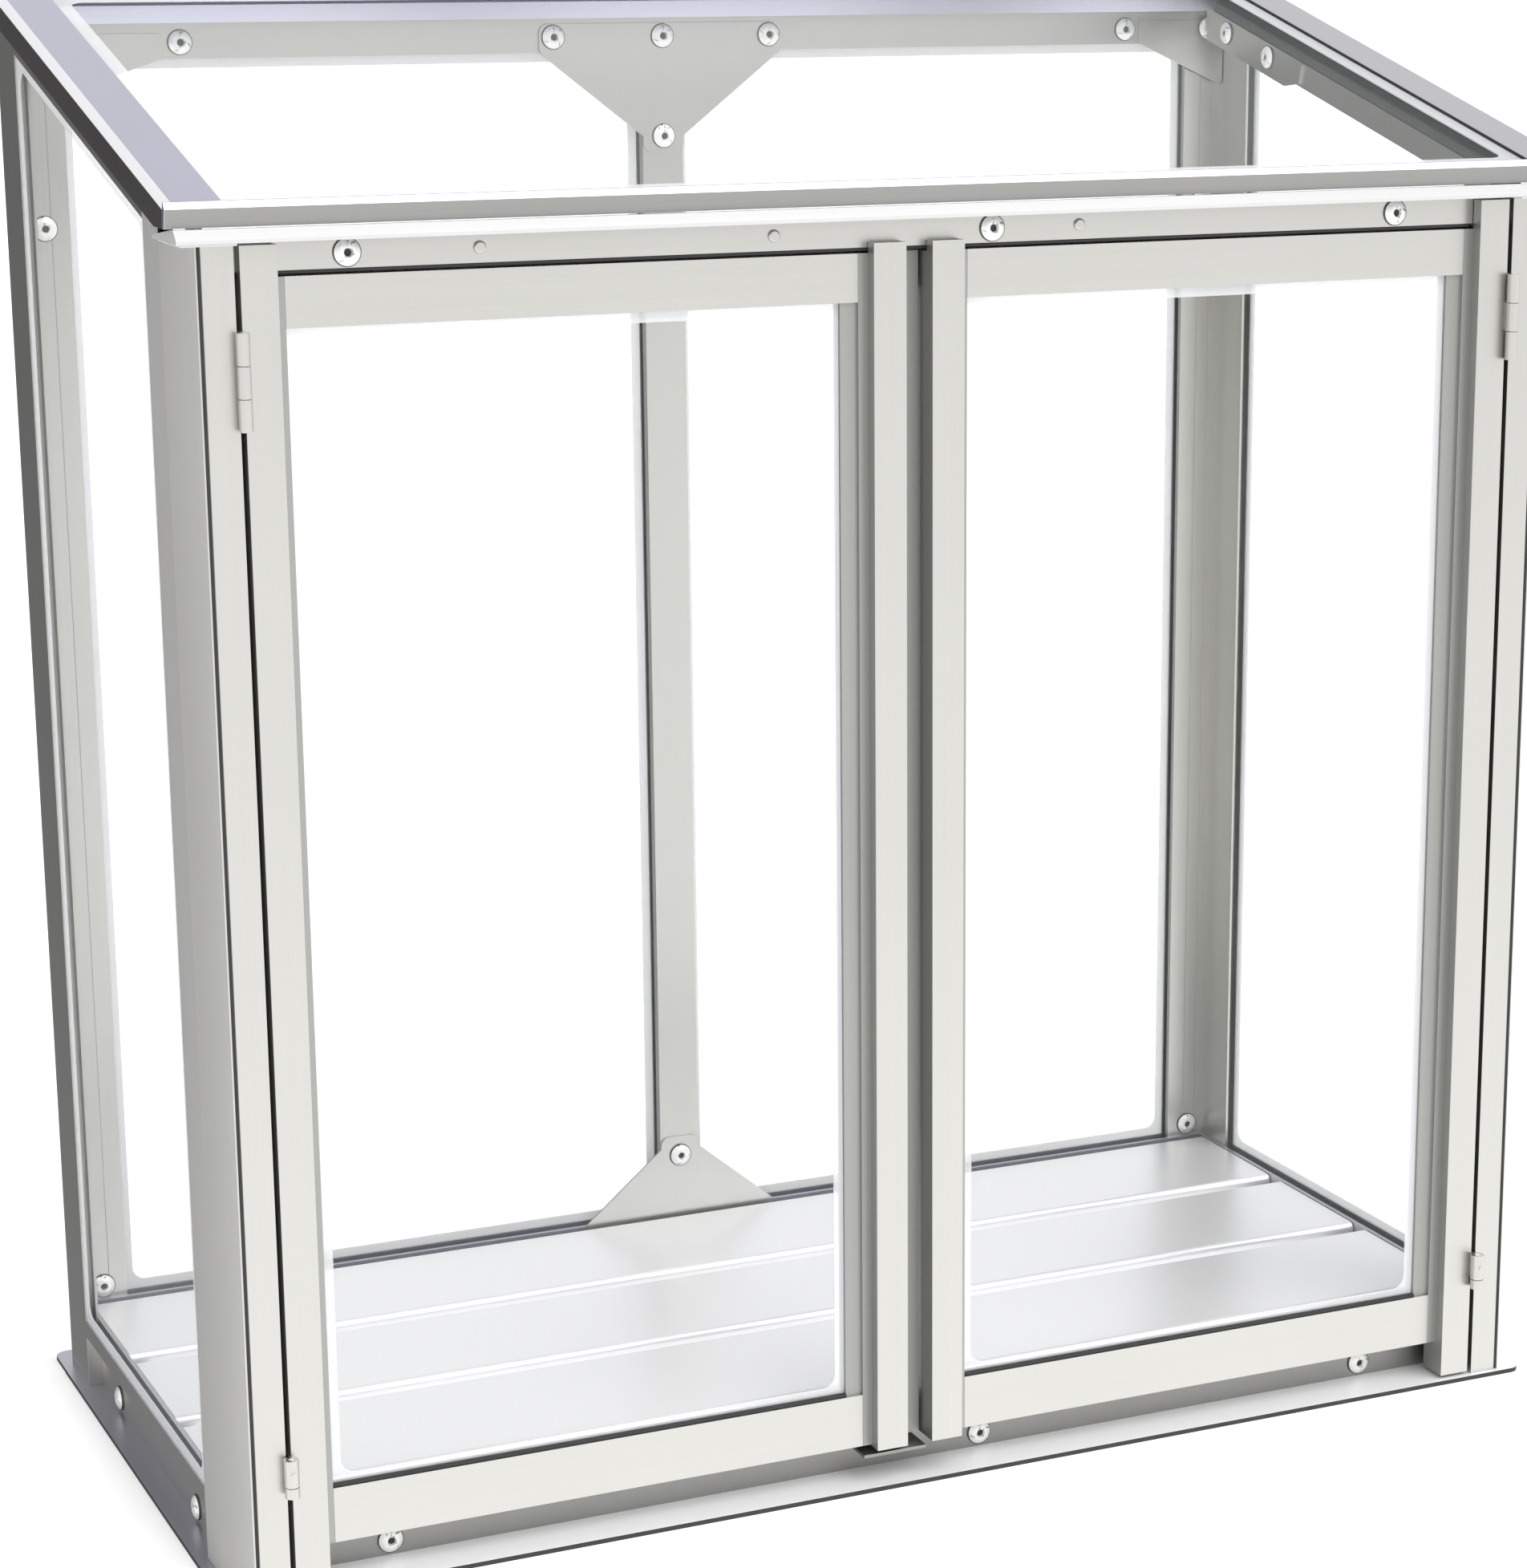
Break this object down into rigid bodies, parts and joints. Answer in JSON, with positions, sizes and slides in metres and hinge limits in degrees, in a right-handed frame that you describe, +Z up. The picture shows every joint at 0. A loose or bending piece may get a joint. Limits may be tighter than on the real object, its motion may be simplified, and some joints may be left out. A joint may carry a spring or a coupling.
{
  "type": "cold frame",
  "caption": "Upright glazed cold frame of aluminium sections with a sloping hinged lid, hinged front doors, a slatted floor and a flanged base.",
  "frame": {"origin": "on the ground, under the middle of the bounding box", "axes": "+X to the right seen from the front, +Y from the doors to the rear, +Z up"},
  "size_m": [0.834, 0.429, 0.8567],
  "materials": {
    "frame_aluminium": "satin mill finish",
    "lid_aluminium": "satin mill finish",
    "floor_aluminium": "satin rolled sheet",
    "hinge_aluminium": "satin",
    "clear_glass": "clear toughened glass",
    "glazing_bead": "milky translucent bead",
    "black_rubber": "matt",
    "zinc_steel": "bright zinc plate",
    "catch_plastic": "matt",
    "cap_plastic": "fine moulded"
  },
  "bodies": {
    "root": {"door_keeper": "frame_aluminium", "door_weather_strips": "black_rubber", "eave_rail": "frame_aluminium", "eave_rivets": "zinc_steel", "fixed_pane_beads": "glazing_bead", "frame_bolts": "zinc_steel", "frame_nuts": "zinc_steel", "front_base_rail": "frame_aluminium", "front_floor_slat": "floor_aluminium", "hinge_pins": "zinc_steel", "hinge_post_leaves": "hinge_aluminium", "left_base_rail": "frame_aluminium", "left_front_post": "frame_aluminium", "left_rear_post": "frame_aluminium", "left_side_top_rail": "frame_aluminium", "magnetic_catches": "catch_plastic", "middle_floor_slat": "floor_aluminium", "post_caps": "cap_plastic", "rear_base_rail": "frame_aluminium", "rear_centre_bar": "frame_aluminium", "rear_corner_gussets": "frame_aluminium", "rear_floor_slat": "floor_aluminium", "rear_foot_gusset": "frame_aluminium", "rear_panes": "clear_glass", "rear_top_gusset": "frame_aluminium", "rear_top_rail": "frame_aluminium", "right_base_rail": "frame_aluminium", "right_front_post": "frame_aluminium", "right_rear_post": "frame_aluminium", "right_side_top_rail": "frame_aluminium", "side_corner_gussets": "frame_aluminium", "side_panes": "clear_glass", "stay_peg": "zinc_steel"},
    "left_door": {"left_door_bottom_rail": "frame_aluminium", "left_door_gasket": "black_rubber", "left_door_glazing_bead": "glazing_bead", "left_door_hinge_leaves": "hinge_aluminium", "left_door_hinge_stile": "frame_aluminium", "left_door_meeting_stile": "frame_aluminium", "left_door_pane": "clear_glass", "left_door_strike_plate": "zinc_steel", "left_door_top_rail": "frame_aluminium"},
    "right_door": {"right_door_bottom_rail": "frame_aluminium", "right_door_gasket": "black_rubber", "right_door_glazing_bead": "glazing_bead", "right_door_hinge_leaves": "hinge_aluminium", "right_door_hinge_stile": "frame_aluminium", "right_door_meeting_stile": "frame_aluminium", "right_door_pane": "clear_glass", "right_door_strike_plate": "zinc_steel", "right_door_top_rail": "frame_aluminium"},
    "lid": {"lid_front_rail": "lid_aluminium", "lid_gaskets": "black_rubber", "lid_glazing_bead": "glazing_bead", "lid_left_rail": "lid_aluminium", "lid_pane": "clear_glass", "lid_rear_rail": "lid_aluminium", "lid_right_rail": "lid_aluminium", "stay_bracket": "zinc_steel"},
    "stay": {"lid_stay": "zinc_steel"}
  },
  "joints": [
    {"name": "left_door_hinge", "type": "hinge", "parent": "root", "child": "left_door", "pos_m": [-0.3796, -0.2075, 0.36], "axis": [0, 0, -1], "range_deg": [0, 165]},
    {"name": "right_door_hinge", "type": "hinge", "parent": "root", "child": "right_door", "pos_m": [0.3796, -0.2075, 0.36], "axis": [0, 0, 1], "range_deg": [0, 165]},
    {"name": "lid_hinge", "type": "hinge", "parent": "root", "child": "lid", "pos_m": [0, 0.1965, 0.84107], "axis": [-1, 0, 0], "range_deg": [0, 75]},
    {"name": "stay_pivot", "type": "hinge", "parent": "lid", "child": "stay", "pos_m": [-0.3819, -0.11249, 0.76375], "axis": [-1, 0, 0], "range_deg": [0, 100]}
  ]
}
